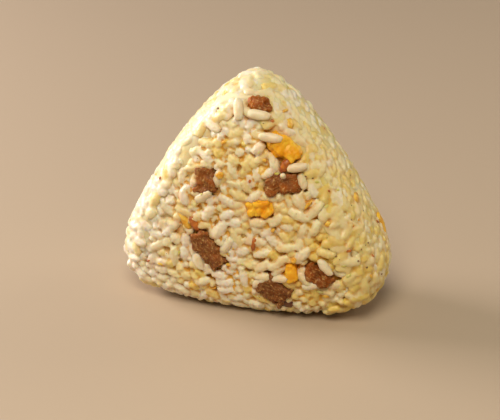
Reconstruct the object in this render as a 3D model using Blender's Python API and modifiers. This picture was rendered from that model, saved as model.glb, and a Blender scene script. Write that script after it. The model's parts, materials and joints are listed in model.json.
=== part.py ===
# A triangular rice ball of fried rice with diced roast pork and scrambled egg, standing on its narrow base.
# Metres, +Z up. The broad faces look along -Y and +Y, and the origin is the middle of the base.

import math

import bmesh
import bpy
import numpy as np
from mathutils import Matrix, Vector, noise

# The pressed form, as five soft planes round a middle point
SIDE_LEAN = math.radians(31.5)  # how far the two upper sides' normals point above level
SIDE_DISTANCE = 0.0376  # from the middle to each upper side's plane
BASE_DISTANCE = 0.0190  # from the middle to the lower plane
HALF_DEPTH = 0.0185  # from the middle to each broad face's plane
BACK_LEAN = math.radians(5.2)  # how far the back leans forwards, so the top is thinner
CORNER_SOFTNESS = 0.0138  # rounds the three corners and bows the sides
RIM_SOFTNESS = 0.0048  # rounds the rims between the broad faces and the sides
MIDDLE_HEIGHT = 0.0169  # the middle above the flat base

# The core under the grains
CORE_VOXEL = 0.0042
RICE_TRIANGLES = 9500  # kept after the grains are joined on
CORE_SUNK_ROUGH = 0.0014  # below the outer form where loose grains show
CORE_SUNK_PRESSED = 0.0001  # below it where the mould pressed the grains flat
CORE_LUMP = 0.0003
CORE_LUMP_SIZE = 0.007

# A cooked grain, and how the grains lie
GRAIN_LENGTH = 0.0073
GRAIN_WIDTH = 0.0035
GRAIN_THICKNESS = 0.0030
GRAIN_SIDES = 5
GRAIN_RINGS = 4
GRAIN_SIZE_SPREAD = 0.10
SINK_ROUGH = 0.0013  # a loose grain's middle below the outer form
SINK_PRESSED = 0.0009  # a pressed grain's
ROUGH_TILT = math.radians(20.0)
PRESSED_TILT = math.radians(4.0)
ROUGH_SPACING = 0.0029  # between the centre lines of neighbours
PRESSED_SPACING = 0.0043
ROUGH_FROM, ROUGH_FULL = 0.70, 0.90  # how squarely a spot faces front or back, pressed to rough
GRAIN_TRIES = 24000
GRAIN_SEED = 11
GRAIN_STATIONS = (-0.30, 0.0, 0.30)  # shares of a grain's length where its neighbours are kept off
HEART_HALF_WIDTH = 0.025  # the flat heart of the form that the rays to the skin start from
HEART_LOW, HEART_HIGH = 0.009, 0.039
BASE_CLEARANCE = 0.0004
PIECE_CLEARANCE = 0.0016  # from a grain's middle line to a piece
SLIVER = 0.00003  # edges shorter than this are merged after joining

# Pieces of pork and egg. Each row: the side it is seen from, its place across and up on that side,
# its turn in degrees, and its length, width and depth. All sizes in millimetres.
PORK = {
    "pork_front_top": ("front", 4.9, 65.8, -12, 7.0, 3.9, 4.6),
    "pork_front_left": ("front", -9.8, 41.8, 82, 8.0, 6.4, 6.0),
    "pork_front_middle": ("front", 12.6, 43.8, 10, 10.2, 6.0, 6.0),
    "pork_front_lower_left": ("front", -9.2, 20.4, -54, 13.0, 6.2, 6.0),
    "pork_front_bottom": ("front", 10.0, 10.2, -38, 9.8, 7.4, 6.0),
    "pork_front_lower_right": ("front", 23.5, 16.5, -33, 8.6, 5.0, 5.4),
    "pork_back_upper": ("back", 3.0, 49.0, 35, 9.4, 6.4, 6.0),
    "pork_back_left": ("back", -15.0, 26.0, -20, 11.0, 6.8, 6.0),
    "pork_back_right": ("back", 14.0, 30.0, 64, 10.0, 5.8, 6.0),
    "pork_back_low": ("back", 1.5, 13.0, 8, 9.0, 6.6, 6.0),
    "pork_side_left": ("left", 3.5, 33.0, 60, 9.0, 5.4, 5.2),
}
EGG = {
    "egg_front_upper": ("front", 12.9, 54.7, -28, 10.0, 6.0, 4.6),
    "egg_front_middle": ("front", 6.3, 35.8, 20, 7.4, 4.6, 5.0),
    "egg_front_low": ("front", 15.6, 16.6, 80, 5.6, 4.0, 4.8),
    "egg_back_upper": ("back", -7.0, 40.0, -50, 8.4, 5.6, 4.8),
    "egg_back_low": ("back", 19.5, 14.5, 24, 8.8, 5.2, 4.8),
    "egg_side_right": ("right", 8.5, 24.0, 75, 7.0, 4.4, 4.6),
}
# Bits too small to be pieces of their own: the side, place across and up, turn, length and width
SMALL_BITS = (
    ("front", -16.0, 29.2, -58, 7.0, 2.4),
    ("front", -12.8, 29.0, -60, 5.2, 2.4),
    ("front", 12.9, 60.2, 70, 3.6, 2.8),
    ("front", -5.0, 45.0, 50, 3.2, 2.6),
    ("front", 13.1, 49.3, 65, 4.6, 2.0),
    ("front", 4.5, 24.6, 84, 4.4, 1.8),
    ("front", 13.5, 5.2, -20, 4.6, 3.2),
    ("right", -2.9, 36.7, -60, 4.2, 2.8),
    ("back", -20.0, 15.0, 30, 4.2, 2.4),
    ("back", 8.5, 45.0, -35, 4.6, 2.6),
)
PIECE_PROUD = 0.0003  # how far a piece's outer face stands past the outer form
PIECE_GAP = 0.0003  # between a piece and the rice round it
PIECE_ROUNDNESS = {"pork": 0.35, "egg": 0.55}
PIECE_LUMP = {"pork": 0.20, "egg": 0.32}
PIECE_CUTS = {"pork": 2, "egg": 1}
LUMP_SIZE = 0.6  # of a piece's lumps, as a share of its half size
BALL_RADIUS = 1.15  # of the ball that a piece's corners are rounded towards, in half sizes
LUMP_SPREAD = 0.0025  # pieces this far apart have different lumps
BIT_DEPTH = 0.0028

RICE_COLOUR = (0.86, 0.74, 0.50, 1.0)
PORK_COLOUR = (0.24, 0.10, 0.05, 1.0)
EGG_COLOUR = (0.86, 0.55, 0.08, 1.0)
MM = 0.001
BEYOND = 0.1  # every ray has left the form after this distance
HALVINGS = 40


def soft_max(depths, softness):
    """The largest of the stacked depths, rounded where two of them are close."""
    top = depths.max(axis=0)
    return top + softness * np.log(np.exp((depths - top) / softness).sum(axis=0))


def depth_outside(points):
    """How far each point lies outside the pressed form, about in metres, and negative inside it."""
    x, y, z = points[..., 0], points[..., 1], points[..., 2] - MIDDLE_HEIGHT
    level, rise = math.cos(SIDE_LEAN), math.sin(SIDE_LEAN)
    right = x * level + z * rise - SIDE_DISTANCE
    left = -x * level + z * rise - SIDE_DISTANCE
    below = -z - BASE_DISTANCE
    triangle = soft_max(np.stack([right, left, below]), CORNER_SOFTNESS)
    back = y * math.cos(BACK_LEAN) + z * math.sin(BACK_LEAN) - HALF_DEPTH
    return soft_max(np.stack([triangle, back, -y - HALF_DEPTH]), RIM_SOFTNESS)


def outward(points):
    """Unit vectors pointing out of the pressed form."""
    step = 0.0001
    slope = [depth_outside(points + step * axis) - depth_outside(points - step * axis) for axis in np.eye(3)]
    slope = np.stack(slope, axis=-1)
    return slope / np.linalg.norm(slope, axis=-1, keepdims=True)


def roughness_of_face(normals):
    """0 on the pressed sides, 1 on the broad faces, where loose grains show."""
    share = np.clip((np.abs(normals[..., 1]) - ROUGH_FROM) / (ROUGH_FULL - ROUGH_FROM), 0, 1)
    return share * share * (3 - 2 * share)


def along_ray(starts, directions, level):
    """The points where rays from inside the form meet the surface that lies at that depth."""
    near, far = np.zeros(len(starts)), np.full(len(starts), BEYOND)
    for _ in range(HALVINGS):
        middle = (near + far) / 2
        inside = depth_outside(starts + directions * middle[:, None]) < level
        near, far = np.where(inside, middle, near), np.where(inside, far, middle)
    return starts + directions * near[:, None]


def new_object(name, mesh, collection, colour=None):
    obj = bpy.data.objects.new(name, mesh)
    collection.objects.link(obj)
    if colour:
        material = bpy.data.materials.get(name.split("_")[0]) or bpy.data.materials.new(name.split("_")[0])
        material.use_nodes = True
        shader = material.node_tree.nodes["Principled BSDF"]
        shader.inputs["Base Color"].default_value = colour
        shader.inputs["Roughness"].default_value = 0.45
        mesh.materials.append(material)
    return obj


def apply_modifiers(obj):
    """Replaces the object's mesh by what its modifiers make of it."""
    graph = bpy.context.evaluated_depsgraph_get()
    graph.update()
    old = obj.data
    obj.data = bpy.data.meshes.new_from_object(obj.evaluated_get(graph))
    obj.modifiers.clear()
    bpy.data.meshes.remove(old)


def rice_core(collection):
    """The body under the grains: a ball drawn out to the pressed form, remeshed evenly, with a flat base."""
    bm = bmesh.new()
    bmesh.ops.create_icosphere(bm, subdivisions=6, radius=1.0)
    directions = np.array([v.co for v in bm.verts])
    middle = np.tile([0.0, 0.0, MIDDLE_HEIGHT], (len(directions), 1))
    skin = along_ray(middle, directions, 0.0)
    rough = roughness_of_face(outward(skin))
    sunk = CORE_SUNK_PRESSED + (CORE_SUNK_ROUGH - CORE_SUNK_PRESSED) * rough
    lumps = np.array([noise.noise(Vector(p) / CORE_LUMP_SIZE) for p in skin])
    for vert, point in zip(bm.verts, along_ray(middle, directions, CORE_LUMP * lumps - sunk)):
        vert.co = point
    mesh = bpy.data.meshes.new("rice")
    bm.to_mesh(mesh)
    bm.free()
    core = new_object("rice", mesh, collection, RICE_COLOUR)
    remesh = core.modifiers.new("Even faces", "REMESH")
    remesh.mode = "VOXEL"
    remesh.voxel_size = CORE_VOXEL
    apply_modifiers(core)
    flatten_base(core)
    return core


def flatten_base(core):
    """Cuts the core off level at the height of the base and closes it with one flat face."""
    bm = bmesh.new()
    bm.from_mesh(core.data)
    everything = bm.verts[:] + bm.edges[:] + bm.faces[:]
    base, up = Vector(), Vector((0, 0, 1))
    cut = bmesh.ops.bisect_plane(bm, geom=everything, plane_co=base, plane_no=up, clear_inner=True)
    rim = [item for item in cut["geom_cut"] if isinstance(item, bmesh.types.BMEdge)]
    bmesh.ops.holes_fill(bm, edges=rim)
    bm.to_mesh(core.data)
    bm.free()


def frame_on_skin(side, across, up, turn, depth):
    """A place on one side, sunk by half its depth, with X along its turn and Z out of the rice."""
    looks = {"front": (0, -1, 0), "back": (0, 1, 0), "left": (-1, 0, 0), "right": (1, 0, 0)}
    out = np.array(looks[side], float)
    sideways = np.array((1, 0, 0) if side in ("front", "back") else (0, 1, 0), float)
    start = sideways * across * MM + np.array((0, 0, up * MM))
    spot = along_ray(start[None], out[None], 0.0)
    normal = Vector(outward(spot)[0])
    flat = Vector(sideways) - normal * Vector(sideways).dot(normal)
    along = Matrix.Rotation(math.radians(turn) * -out.sum(), 4, normal) @ flat.normalized()
    rotation = Matrix((along, normal.cross(along), normal)).transposed().to_4x4()
    middle = Vector(spot[0]) + normal * (PIECE_PROUD - depth / 2)
    return Matrix.Translation(middle) @ rotation


def lumpy_block(name, kind, place, size):
    """A cut cube with soft edges and an uneven surface, as a mesh already in its place."""
    bm = bmesh.new()
    bmesh.ops.create_cube(bm, size=2.0)
    bmesh.ops.subdivide_edges(bm, edges=bm.edges[:], cuts=PIECE_CUTS[kind], use_grid_fill=True)
    shift = place.translation / LUMP_SPREAD
    for vert in bm.verts:
        soft = vert.co.lerp(vert.co.normalized() * BALL_RADIUS, PIECE_ROUNDNESS[kind])
        lump = 1 + PIECE_LUMP[kind] * noise.noise(soft / LUMP_SIZE + shift)
        vert.co = Vector(axis * lump * length / 2 for axis, length in zip(soft, size))
    bmesh.ops.triangulate(bm, faces=bm.faces[:])
    bm.transform(place)
    mesh = bpy.data.meshes.new(name)
    bm.to_mesh(mesh)
    bm.free()
    return mesh


def pocket_mesh(mesh):
    """A copy of a piece, larger by the gap all round."""
    bm = bmesh.new()
    bm.from_mesh(mesh)
    bm.normal_update()
    moved = [vert.co + vert.normal * PIECE_GAP * vert.calc_shell_factor() for vert in bm.verts]
    for vert, co in zip(bm.verts, moved):
        vert.co = co
    pocket = bpy.data.meshes.new(mesh.name + "_pocket")
    bm.to_mesh(pocket)
    bm.free()
    return pocket


def make_pieces(collection, pockets):
    """The pork and egg pieces, and a cutter for each. Returns each one's place and half sizes."""
    blocks = []
    for kind, rows, colour in (("pork", PORK, PORK_COLOUR), ("egg", EGG, EGG_COLOUR)):
        for name, (side, across, up, turn, length, width, depth) in rows.items():
            size = [value * MM for value in (length, width, depth)]
            place = frame_on_skin(side, across, up, turn, size[2])
            mesh = lumpy_block(name, kind, place, size)
            new_object(name, mesh, collection, colour)
            cutter = new_object(name + "_pocket", pocket_mesh(mesh), pockets)
            cutter.hide_render = True
            cutter.display_type = "WIRE"
            blocks.append((place.inverted(), np.array(size) / 2))
    return blocks


def near_a_piece(points, blocks):
    """Whether a grain through these points would touch a piece of pork or egg."""
    for inverse, half in blocks:
        matrix = np.array(inverse)
        local = points @ matrix[:3, :3].T + matrix[:3, 3]
        beyond = np.linalg.norm(np.maximum(np.abs(local) - half, 0), axis=1)
        if (beyond < PIECE_CLEARANCE).any():
            return True
    return False


def grain_places(blocks, bits, rng):
    """Spreads grains over the form: a random spot and turn is kept if it is clear of its neighbours."""
    directions = rng.normal(size=(GRAIN_TRIES, 3))
    directions /= np.linalg.norm(directions, axis=1, keepdims=True)
    starts = np.zeros((GRAIN_TRIES, 3))
    starts[:, 0] = rng.uniform(-HEART_HALF_WIDTH, HEART_HALF_WIDTH, GRAIN_TRIES)
    starts[:, 2] = rng.uniform(HEART_LOW, HEART_HIGH, GRAIN_TRIES)
    normals = outward(along_ray(starts, directions, 0.0))
    rough = roughness_of_face(normals)
    spots = along_ray(starts, directions, -SINK_PRESSED - (SINK_ROUGH - SINK_PRESSED) * rough)
    turns = rng.uniform(0, math.tau, GRAIN_TRIES)
    tilts = rng.normal(size=GRAIN_TRIES)
    stations = np.array(GRAIN_STATIONS) * GRAIN_LENGTH
    lines = [place.translation + place.col[0].to_3d() * d for place, _ in bits for d in stations]
    taken = np.array(lines).reshape(-1, 3)
    places = []
    for spot, out, share, turn, tilt in zip(spots, normals, rough, turns, tilts):
        normal = Vector(out)
        angle = tilt * (PRESSED_TILT + (ROUGH_TILT - PRESSED_TILT) * share) / 2
        tangent = Matrix.Rotation(turn, 3, normal) @ normal.orthogonal().normalized()
        along = (tangent * math.cos(angle) + normal * math.sin(angle)).normalized()
        line = spot + np.outer(stations, along)
        reach = abs(along.z) * GRAIN_LENGTH / 2 + GRAIN_THICKNESS / 2
        spacing = PRESSED_SPACING + (ROUGH_SPACING - PRESSED_SPACING) * share
        gaps = np.linalg.norm(taken[:, None] - line[None], axis=2)
        if spot[2] - reach < BASE_CLEARANCE or gaps.min() < spacing or near_a_piece(line, blocks):
            continue
        taken = np.concatenate([taken, line])
        across = normal.cross(along).normalized()
        rotation = Matrix((across.cross(along), across, along)).transposed().to_4x4()
        places.append(Matrix.Translation(spot) @ rotation)
    return places


def grain_mesh():
    """One cooked grain with few sides, lying along Z."""
    bm = bmesh.new()
    bmesh.ops.create_uvsphere(bm, u_segments=GRAIN_SIDES, v_segments=GRAIN_RINGS, radius=0.5)
    bmesh.ops.scale(bm, vec=(GRAIN_THICKNESS, GRAIN_WIDTH, GRAIN_LENGTH), verts=bm.verts)
    mesh = bpy.data.meshes.new("grain")
    bm.to_mesh(mesh)
    bm.free()
    return mesh


def small_bits():
    """Where the smallest bits of egg and pork lie, and how large they are."""
    places = []
    for side, across, up, turn, length, width in SMALL_BITS:
        size = (length * MM, width * MM, BIT_DEPTH)
        places.append((frame_on_skin(side, across, up, turn, BIT_DEPTH), size))
    return places


def fuse_grains(core, places, bits, rng):
    """Joins the grains and the small bits to the core with one Boolean."""
    heap = bpy.data.collections.new("grains")
    bpy.context.scene.collection.children.link(heap)
    mesh = grain_mesh()
    for number, place in enumerate(places):
        grain = new_object(f"grain_{number}", mesh, heap)
        grain.matrix_world = place @ Matrix.Scale(1 + rng.uniform(-1, 1) * GRAIN_SIZE_SPREAD, 4)
    for number, (place, size) in enumerate(bits):
        bit = new_object(f"bit_{number}", mesh, heap)
        scale = (size[2] / GRAIN_THICKNESS, size[1] / GRAIN_WIDTH, size[0] / GRAIN_LENGTH)
        turned = Matrix.Rotation(math.radians(90), 4, "Y")
        bit.matrix_world = place @ turned @ Matrix.Diagonal((*scale, 1))
    join = core.modifiers.new("Grains", "BOOLEAN")
    join.operation = "UNION"
    join.operand_type = "COLLECTION"
    join.collection = heap
    join.solver = "MANIFOLD"
    apply_modifiers(core)
    remove_collection(heap)


def remove_collection(collection):
    for obj in list(collection.objects):
        bpy.data.objects.remove(obj)
    bpy.data.collections.remove(collection)


def cut_pockets(core, pockets):
    cut = core.modifiers.new("Pockets", "BOOLEAN")
    cut.operation = "DIFFERENCE"
    cut.operand_type = "COLLECTION"
    cut.collection = pockets
    cut.solver = "MANIFOLD"
    apply_modifiers(core)
    remove_collection(pockets)


def keep_largest_shell(obj):
    """Drops loose scraps, and the walls of any hollow that the joining sealed."""
    bm = bmesh.new()
    bm.from_mesh(obj.data)
    left = set(bm.verts)
    shells = []
    while left:
        shell, edge_of_shell = set(), [left.pop()]
        while edge_of_shell:
            vert = edge_of_shell.pop()
            shell.add(vert)
            found = [e.other_vert(vert) for e in vert.link_edges if e.other_vert(vert) in left]
            left.difference_update(found)
            edge_of_shell.extend(found)
        shells.append(shell)
    largest = max(shells, key=len)
    bmesh.ops.delete(bm, geom=[v for v in bm.verts if v not in largest], context="VERTS")
    bm.to_mesh(obj.data)
    bm.free()


def trim_triangles(obj):
    """Merges slivers, then drops the triangles that shape nothing, down to the number kept."""
    bm = bmesh.new()
    bm.from_mesh(obj.data)
    bmesh.ops.triangulate(bm, faces=bm.faces[:])
    bmesh.ops.dissolve_degenerate(bm, dist=SLIVER, edges=bm.edges[:])
    bmesh.ops.triangulate(bm, faces=bm.faces[:])
    count = len(bm.faces)
    bm.to_mesh(obj.data)
    bm.free()
    trim = obj.modifiers.new("Fewer faces", "DECIMATE")
    trim.ratio = min(1.0, RICE_TRIANGLES / count)
    trim.use_collapse_triangulate = True
    apply_modifiers(obj)


def main():
    for obj in list(bpy.data.objects):
        bpy.data.objects.remove(obj)
    rice_ball = bpy.data.collections.new("rice_ball")
    pockets = bpy.data.collections.new("pockets")
    bpy.context.scene.collection.children.link(rice_ball)
    bpy.context.scene.collection.children.link(pockets)
    rng = np.random.default_rng(GRAIN_SEED)
    blocks = make_pieces(rice_ball, pockets)
    bits = small_bits()
    core = rice_core(rice_ball)
    places = grain_places(blocks, bits, rng)
    fuse_grains(core, places, bits, rng)
    keep_largest_shell(core)
    trim_triangles(core)
    cut_pockets(core, pockets)
    keep_largest_shell(core)
    print(len(places), "grains,", len(core.data.polygons), "faces on the rice")


main()
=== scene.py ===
# The looks of a pressed triangle of fried rice with diced roast pork and scrambled egg.
# Metres, +Z up. The rice is packed grain by grain against the pressed form, round the CAD's pork and egg.

import json
import math

import bpy
import numpy as np
from mathutils import Matrix, Vector, kdtree, noise
from mathutils.bvhtree import BVHTree

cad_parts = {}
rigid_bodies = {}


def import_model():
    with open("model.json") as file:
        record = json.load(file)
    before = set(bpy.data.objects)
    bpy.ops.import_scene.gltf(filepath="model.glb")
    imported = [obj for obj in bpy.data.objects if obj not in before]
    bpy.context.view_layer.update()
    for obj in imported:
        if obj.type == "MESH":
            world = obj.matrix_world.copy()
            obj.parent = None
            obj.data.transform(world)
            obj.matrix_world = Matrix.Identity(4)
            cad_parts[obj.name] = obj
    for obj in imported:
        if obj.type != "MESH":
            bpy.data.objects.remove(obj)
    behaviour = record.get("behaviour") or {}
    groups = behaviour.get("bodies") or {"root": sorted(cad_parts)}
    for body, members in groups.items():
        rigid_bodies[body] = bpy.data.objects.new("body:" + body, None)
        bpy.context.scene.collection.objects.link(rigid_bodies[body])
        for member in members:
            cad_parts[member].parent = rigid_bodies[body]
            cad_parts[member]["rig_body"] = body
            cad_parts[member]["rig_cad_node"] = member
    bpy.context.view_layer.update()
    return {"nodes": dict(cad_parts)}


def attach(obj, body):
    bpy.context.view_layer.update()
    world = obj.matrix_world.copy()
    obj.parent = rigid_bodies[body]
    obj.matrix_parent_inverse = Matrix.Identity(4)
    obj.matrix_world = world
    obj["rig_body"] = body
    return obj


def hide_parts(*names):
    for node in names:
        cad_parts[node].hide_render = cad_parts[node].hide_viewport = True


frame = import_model()
mm = 0.001
chance = np.random.default_rng(23)
print("frame loaded:", len(frame["nodes"]), "solids")


# small tools

def onlySelect(obj):
    bpy.ops.object.select_all(action="DESELECT")
    obj.select_set(True)
    bpy.context.view_layer.objects.active = obj


def applyAll(obj):
    onlySelect(obj)
    for modifier in list(obj.modifiers):
        bpy.ops.object.modifier_apply(modifier=modifier.name)


def readPoints(obj):
    points = np.empty(len(obj.data.vertices) * 3)
    obj.data.vertices.foreach_get("co", points)
    return points.reshape(-1, 3)


def writePoints(obj, points):
    obj.data.vertices.foreach_set("co", np.ascontiguousarray(points, dtype=np.float32).ravel())
    obj.data.update()


def keepAbove(obj, level=0.0):
    # nothing reaches below the surface that the rice ball stands on
    points = readPoints(obj)
    points[:, 2] = np.maximum(points[:, 2], level)
    writePoints(obj, points)
    return points


def vertexNormals(obj):
    normals = np.empty(len(obj.data.vertices) * 3, dtype=np.float32)
    obj.data.vertex_normals.foreach_get("vector", normals)
    return normals.reshape(-1, 3).astype(float)


def softRemesh(obj, voxel, softening):
    # small even faces all over, then smoothed
    remesh = obj.modifiers.new("Even faces", "REMESH")
    remesh.mode = "VOXEL"
    remesh.voxel_size = voxel
    soften = obj.modifiers.new("Soft edges", "SMOOTH")
    soften.factor = 0.5
    soften.iterations = softening
    applyAll(obj)


def joinParts(name, parts):
    # one object from many sets of points and faces
    points, faces, first = [], [], 0
    for partPoints, partFaces in parts:
        points.append(partPoints)
        faces.extend(tuple(corner + first for corner in face) for face in partFaces)
        first += len(partPoints)
    mesh = bpy.data.meshes.new(name)
    mesh.from_pydata(np.concatenate(points).tolist(), [], faces)
    obj = bpy.data.objects.new(name, mesh)
    bpy.context.scene.collection.objects.link(obj)
    onlySelect(obj)
    bpy.ops.object.shade_smooth()
    return obj


def paintValues(obj, name, values):
    # a number for each vertex, which the materials read by its name
    attribute = obj.data.attributes.get(name) or obj.data.attributes.new(name, "FLOAT", "POINT")
    attribute.data.foreach_set("value", np.ascontiguousarray(values, dtype=np.float32))


def paintVectors(obj, name, vectors):
    attribute = obj.data.attributes.get(name) or obj.data.attributes.new(name, "FLOAT_VECTOR", "POINT")
    attribute.data.foreach_set("vector", np.ascontiguousarray(vectors, dtype=np.float32).ravel())


def finishPiece(obj, material, nodes):
    # the piece's material and slot, and the solids that it shows in place of
    obj.data.materials.clear()
    obj.data.materials.append(material)
    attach(obj, "root")
    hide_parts(*nodes)
    obj.data.calc_loop_triangles()
    print(obj.name, len(obj.data.loop_triangles), "triangles")


def smoothStep(value, low, high):
    share = np.clip((value - low) / (high - low), 0, 1)
    return share * share * (3 - 2 * share)


def noiseAt(points, size, offset=0.0):
    return np.array([noise.noise(Vector(p) / size + Vector((offset, offset, offset))) for p in points])


def roughen(obj, size, relief):
    points = readPoints(obj)
    writePoints(obj, points + vertexNormals(obj) * (noiseAt(points, size, 9.0) * relief)[:, None])


def unit(vectors):
    return vectors / np.linalg.norm(vectors, axis=-1, keepdims=True)


# the pressed form, the same five soft planes that the solids are made from

pressedForm = {
    "sideLean": math.radians(31.5),
    "sideDistance": 0.0376,
    "baseDistance": 0.0190,
    "halfDepth": 0.0185,
    "backLean": math.radians(5.2),
    "cornerSoftness": 0.0138,
    "rimSoftness": 0.0048,
    "middleHeight": 0.0169,
    "roughFrom": 0.72,  # how squarely a spot faces front, back or down where loose grains begin
    "roughFull": 0.90,
    "roughUnder": 0.85,
}


def softMax(depths, softness):
    top = depths.max(axis=0)
    return top + softness * np.log(np.exp((depths - top) / softness).sum(axis=0))


def outsideForm(points):
    # how far outside the pressed form, in metres, and negative inside
    form = pressedForm
    x, y, z = points[..., 0], points[..., 1], points[..., 2] - form["middleHeight"]
    level, rise = math.cos(form["sideLean"]), math.sin(form["sideLean"])
    sides = [x * level + z * rise - form["sideDistance"], -x * level + z * rise - form["sideDistance"]]
    triangle = softMax(np.stack(sides + [-z - form["baseDistance"]]), form["cornerSoftness"])
    back = y * math.cos(form["backLean"]) + z * math.sin(form["backLean"]) - form["halfDepth"]
    return softMax(np.stack([triangle, back, -y - form["halfDepth"]]), form["rimSoftness"])


def outwardOf(points):
    step = 0.0001
    slope = [outsideForm(points + step * axis) - outsideForm(points - step * axis) for axis in np.eye(3)]
    return unit(np.stack(slope, axis=-1))


def roughShare(normals, early=0.0):
    # 0 on the pressed sides, 1 on the broad faces and along their lower edge
    under = np.maximum(-normals[..., 2], 0) * pressedForm["roughUnder"]
    squareOn = np.hypot(normals[..., 1], under) + early
    return smoothStep(squareOn, pressedForm["roughFrom"], pressedForm["roughFull"])


leftStrip = {  # the strip along the left edge that was pressed smooth: heights, and depths from the side
    "widening": 0.0040,  # how much wider it is low down
    "widest": 0.018,
    "narrow": 0.034,
    "fades": (-0.0095, -0.0050),
    "foot": (0.005, 0.011),
}


def leftSkin(points):
    # 1 on the left strip, 0 elsewhere
    form, strip = pressedForm, leftStrip
    x, z = points[..., 0], points[..., 2] - form["middleHeight"]
    side = -x * math.cos(form["sideLean"]) + z * math.sin(form["sideLean"]) - form["sideDistance"]
    side = side + strip["widening"] * (1 - smoothStep(points[..., 2], strip["widest"], strip["narrow"]))
    return smoothStep(side, *strip["fades"]) * smoothStep(points[..., 2], *strip["foot"])


swelling = {
    "tip": (0.0014, -0.0010, 0.0680),
    "tipReach": 0.0062,
    "tipHeight": 0.0011,
    "lowEdge": 0.0007,
}


def swellOf(points, normals):
    # the tip swells a little, and so does the lower edge all round
    away = np.linalg.norm(points - np.array(swelling["tip"]), axis=-1)
    under = smoothStep(-normals[..., 2], 0.20, 0.75) * smoothStep(points[..., 2], 0.0, 0.003)
    return swelling["tipHeight"] * np.exp(-(away / swelling["tipReach"]) ** 4) + swelling["lowEdge"] * under


def heldIn(points, limit):
    # what stands further out of the form than the limit is pushed most of the way back
    excess = np.maximum(outsideForm(points) - limit, 0)
    return points - outwardOf(points) * (excess * 0.8)[:, None]


def skinAlong(starts, directions, level):
    # where rays from inside meet the surface that lies at that level
    near, far = np.zeros(len(starts)), np.full(len(starts), 0.1)
    for _ in range(30):
        middle = (near + far) / 2
        inside = outsideForm(starts + directions * middle[:, None]) < level
        near, far = np.where(inside, middle, near), np.where(inside, far, middle)
    return starts + directions * near[:, None]


sideLooks = {"front": (0, -1, 0), "back": (0, 1, 0), "left": (-1, 0, 0), "right": (1, 0, 0), "top": (0, 0, 1)}


def startOn(side, across, up):
    # the point inside, in metres, that lies behind a spot seen square on from one side
    spots = {"left": (0, across, up), "right": (0, across, up), "top": (across, up, 30)}
    return np.array([spots.get(side, (across, 0, up))]) * mm


def spotOn(side, across, up):
    # that spot on the skin, and its outward direction
    point = skinAlong(startOn(side, across, up), np.array([sideLooks[side]], float), 0.0)
    return Vector(point[0]), Vector(outwardOf(point)[0])


def frameOn(side, across, up, turn, sunk, tilt=0.0):
    # a place on the skin with X inwards, Y across and Z along the turn, in degrees from level
    point, out = spotOn(side, across, up)
    level = Vector((0, 1, 0)) if side in ("left", "right") else Vector((1, 0, 0))
    level = (level - out * level.dot(out)).normalized()
    sign = 1 if side in ("front", "left") else -1
    along = Matrix.Rotation(math.radians(turn) * sign, 3, out) @ level
    along = (along * math.cos(math.radians(tilt)) + out * math.sin(math.radians(tilt))).normalized()
    across = out.cross(along).normalized()
    rotation = Matrix((across.cross(along), across, along)).transposed().to_4x4()
    return Matrix.Translation(point - out * sunk * mm) @ rotation


# materials

def newMaterial(name, constants):
    material = bpy.data.materials.new(name)
    material.use_nodes = True
    shader = material.node_tree.nodes["Principled BSDF"]
    for socket, value in constants.items():
        shader.inputs[socket].default_value = value
    return material, material.node_tree, shader


def addNode(tree, kind, x, y, **settings):
    node = tree.nodes.new(kind)
    node.location = (x, y)
    for name, value in settings.items():
        setattr(node, name, value)
    return node


def objectPlace(tree, x, y):
    return addNode(tree, "ShaderNodeTexCoord", x, y).outputs["Object"]


def painted(tree, x, y, name, output="Fac"):
    # what paintValues or paintVectors left on the mesh
    return addNode(tree, "ShaderNodeAttribute", x, y, attribute_name=name).outputs[output]


def mixColours(tree, x, y, factor, first, second):
    mix = addNode(tree, "ShaderNodeMix", x, y, data_type="RGBA")
    for socket, value in ((mix.inputs[0], factor), (mix.inputs[6], first), (mix.inputs[7], second)):
        if isinstance(value, tuple):
            socket.default_value = value
        else:
            tree.links.new(value, socket)
    return mix.outputs[2]


def scaleValue(tree, x, y, value, low, high, toLow=0.0, toHigh=1.0):
    scaled = addNode(tree, "ShaderNodeMapRange", x, y, clamp=True)
    tree.links.new(value, scaled.inputs[0])
    for number, limit in enumerate((low, high, toLow, toHigh), start=1):
        scaled.inputs[number].default_value = limit
    return scaled.outputs[0]


def mixWhere(tree, x, y, value, low, high, most, first, second):
    # the second colour comes in as the value rises from low to high, up to the share that most gives
    part = scaleValue(tree, x - 200, y + 200, value, low, high, 0.0, most)
    return mixColours(tree, x, y, part, first, second)


def blotchGroup():
    # soft blotches and fine mottle at any scale, used by the rice, the pork and the egg
    group = bpy.data.node_groups.new("blotches", "ShaderNodeTree")
    for name, kind, value in (("Place", "NodeSocketVector", None), ("Blotch Scale", "NodeSocketFloat", 100.0),
                              ("Mottle Scale", "NodeSocketFloat", 900.0)):
        socket = group.interface.new_socket(name, in_out="INPUT", socket_type=kind)
        if value:
            socket.default_value = value
    for name in ("Blotch", "Mottle", "Relief"):
        group.interface.new_socket(name, in_out="OUTPUT", socket_type="NodeSocketFloat")
    inlet = addNode(group, "NodeGroupInput", -700, 0)
    outlet = addNode(group, "NodeGroupOutput", 500, 0)
    for y, name, detail, low, high in ((200, "Blotch", 2.0, 0.35, 0.68), (-100, "Mottle", 3.0, 0.30, 0.70)):
        texture = addNode(group, "ShaderNodeTexNoise", -400, y)
        texture.inputs["Detail"].default_value = detail
        group.links.new(inlet.outputs["Place"], texture.inputs["Vector"])
        group.links.new(inlet.outputs[name + " Scale"], texture.inputs["Scale"])
        group.links.new(scaleValue(group, -100, y, texture.outputs["Fac"], low, high), outlet.inputs[name])
    group.links.new(texture.outputs["Fac"], outlet.inputs["Relief"])  # the mottle, unscaled
    return group


blotches = blotchGroup()


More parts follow.
